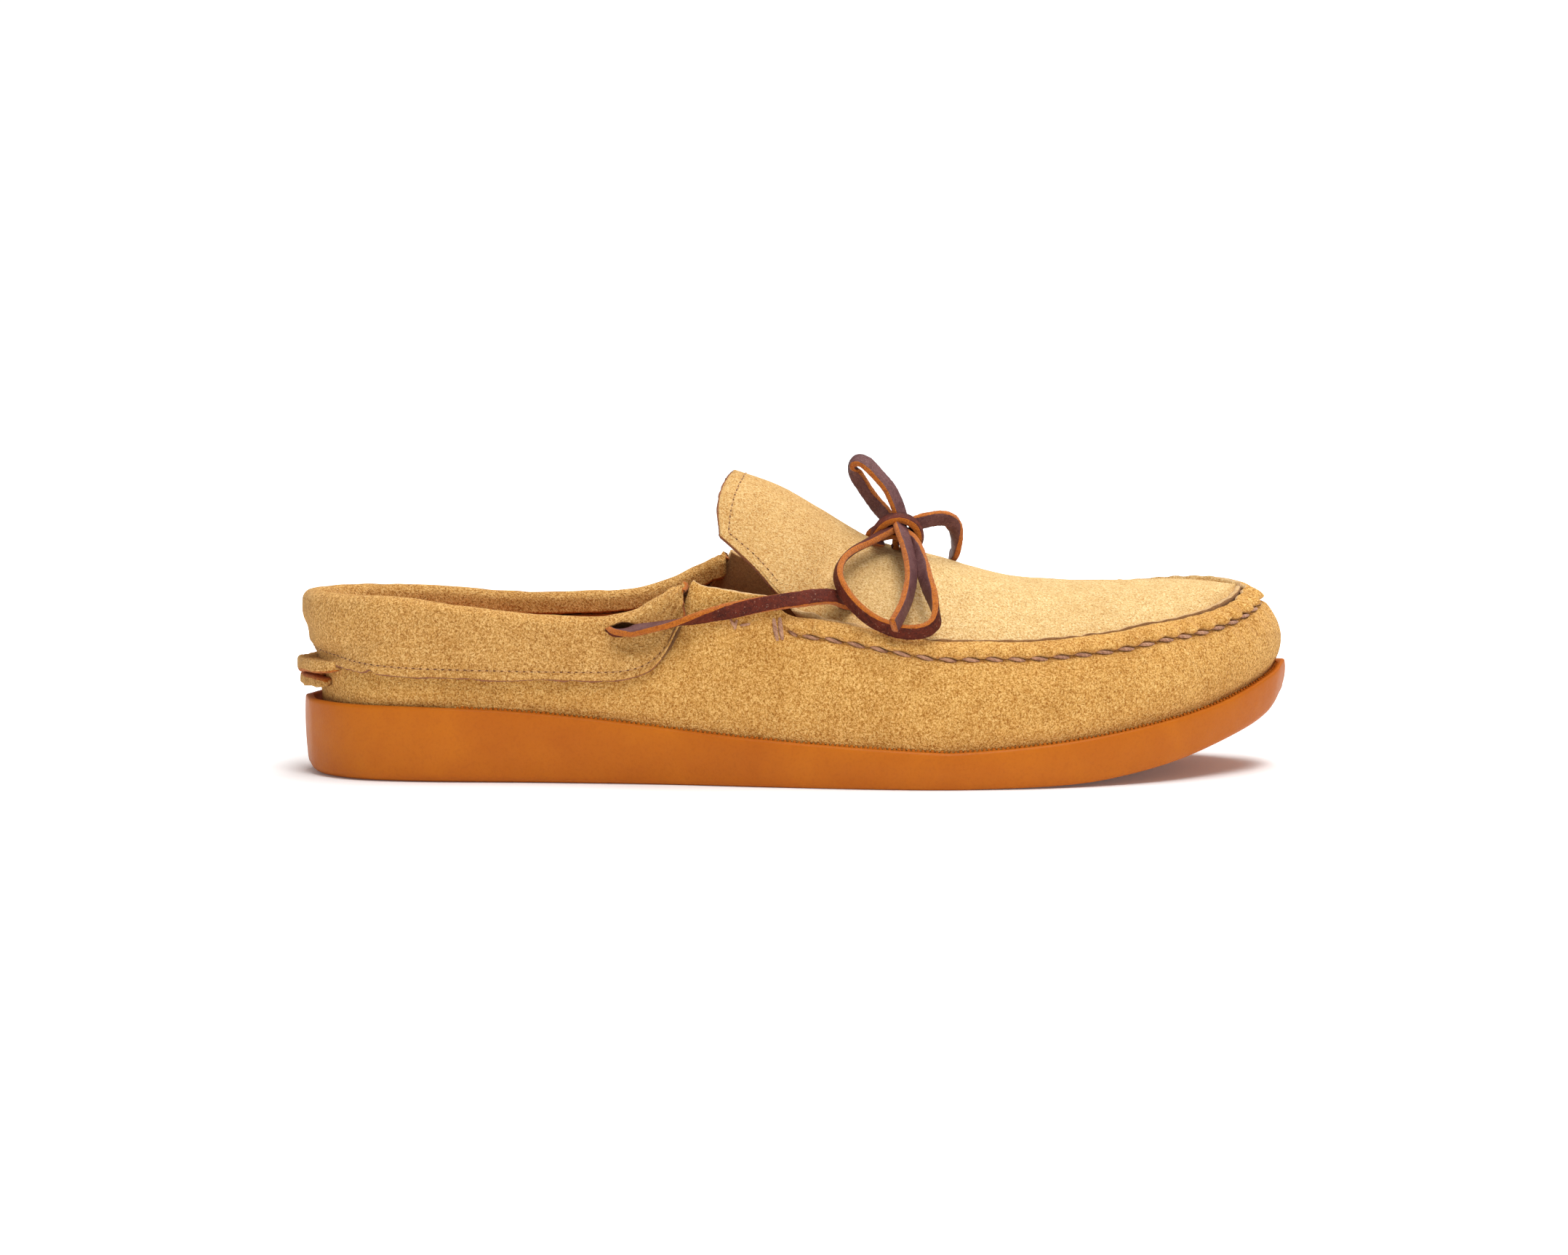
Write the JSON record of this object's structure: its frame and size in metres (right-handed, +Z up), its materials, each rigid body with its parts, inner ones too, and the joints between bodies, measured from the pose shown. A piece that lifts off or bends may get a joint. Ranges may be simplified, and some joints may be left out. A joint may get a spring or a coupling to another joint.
{
  "type": "camp moccasin",
  "caption": "Low suede camp moccasin, right shoe: hand-sewn apron, standing tongue, rolled heel collar, rawhide lace tied in a bow, gum-rubber unit sole.",
  "frame": {"origin": "middle of the shoe's length and width, on the ground plane under the flat of the sole, measured without the tied bow and the lace", "axes": "+X towards the toe, +Y towards the medial side (the big toe's), +Z up; the shoe stands on Z = 0"},
  "size_m": [0.29, 0.1032, 0.0914],
  "materials": {
    "outsole_material": "satin moulded gum rubber",
    "footbed_foam_material": "soft cushion layer",
    "sock_lining_material": "smooth leather",
    "vamp_material": "napped suede",
    "apron_material": "napped suede",
    "tongue_material": "napped suede",
    "collar_material": "napped suede",
    "heel_tab_upper_material": "napped suede, raw edge",
    "heel_tab_lower_material": "napped suede, raw edge",
    "heel_lining_material": "smooth leather",
    "moc_seam_thread_material": "waxed thread",
    "tack_lateral_material": "waxed thread",
    "tack_medial_material": "waxed thread",
    "collar_thread_material": "sewing thread",
    "tongue_thread_material": "sewing thread",
    "bow_knot_material": "oiled rawhide",
    "bow_loop_near_material": "oiled rawhide",
    "bow_loop_far_material": "oiled rawhide",
    "lace_tail_near_material": "oiled rawhide",
    "lace_tail_far_material": "oiled rawhide",
    "lace_side_lateral_material": "oiled rawhide",
    "lace_side_medial_material": "oiled rawhide",
    "lace_collar_run_material": "oiled rawhide"
  },
  "bodies": {
    "shoe": {"outsole": "outsole_material", "footbed_foam": "footbed_foam_material", "sock_lining": "sock_lining_material", "vamp": "vamp_material", "apron": "apron_material", "collar": "collar_material", "heel_tab_upper": "heel_tab_upper_material", "heel_tab_lower": "heel_tab_lower_material", "heel_lining": "heel_lining_material", "moc_seam_thread": "moc_seam_thread_material", "tack_lateral": "tack_lateral_material", "tack_medial": "tack_medial_material", "collar_thread": "collar_thread_material", "bow_knot": "bow_knot_material", "bow_loop_near": "bow_loop_near_material", "bow_loop_far": "bow_loop_far_material", "lace_tail_near": "lace_tail_near_material", "lace_tail_far": "lace_tail_far_material", "lace_side_lateral": "lace_side_lateral_material", "lace_side_medial": "lace_side_medial_material", "lace_collar_run": "lace_collar_run_material"},
    "tongue_flap": {"tongue": "tongue_material", "tongue_thread": "tongue_thread_material"}
  },
  "joints": [
    {"name": "tongue_lift", "type": "hinge", "parent": "shoe", "child": "tongue_flap", "pos_m": [0.00906, 0.00056, 0.0755], "axis": [0, 1, 0], "range_deg": [-5, 30], "stiffness_Nm_per_rad": 0.03}
  ]
}
